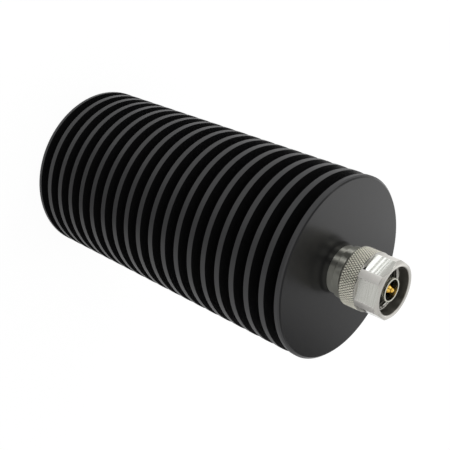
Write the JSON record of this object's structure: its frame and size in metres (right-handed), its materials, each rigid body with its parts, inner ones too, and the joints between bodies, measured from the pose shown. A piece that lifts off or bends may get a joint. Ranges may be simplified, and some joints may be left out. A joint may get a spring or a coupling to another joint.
{
  "type": "coaxial dummy load",
  "caption": "Cylindrical coaxial dummy load: a round-finned black heat sink that stands on its plain end, with a screw-on plug and a part-knurled, part-hexagonal coupling nut at its other end.",
  "frame": {"origin": "the middle of the heat sink's plain end, which is the face that it stands on", "axes": "+Z runs along the axis from the plain end to the plug's mouth; +Y points to the side with the two lock screws"},
  "size_m": [0.063, 0.063, 0.1408],
  "materials": {
    "black_anodised": "satin black anodised",
    "passivated_steel": "turned and brushed, passivated",
    "silver_plate": "bright plated",
    "gold_plate": "gold plated",
    "spring_alloy": "rolled spring strip",
    "dark_screws": "black oxide",
    "silicone": "moulded",
    "white_plastic": "turned",
    "bare_aluminium": "machined",
    "pale_ceramic": "fired, matte"
  },
  "bodies": {
    "load": {"heatsink": "black_anodised", "connector_shell": "passivated_steel", "outer_contact": "silver_plate", "nut_snap_ring": "spring_alloy", "mating_gasket": "silicone", "centre_pin": "gold_plate", "front_bead": "white_plastic", "launch_pin": "gold_plate", "rear_bead": "white_plastic", "bead_retainer": "silver_plate", "neck_seal": "silicone", "chip_carrier": "bare_aluminium", "carrier_cover": "bare_aluminium", "cover_screws": "dark_screws", "carrier_dowels": "dark_screws", "chip_substrate": "pale_ceramic", "chip_lid": "pale_ceramic", "input_lead": "silver_plate", "disc_springs": "spring_alloy", "lock_grub_screws": "dark_screws"},
    "nut": {"coupling_nut": "passivated_steel"}
  },
  "joints": [
    {"name": "coupling_nut_turn", "type": "hinge", "parent": "load", "child": "nut", "pos_m": [0, 0, 0.1275], "axis": [0, 0, 1], "continuous": true}
  ]
}
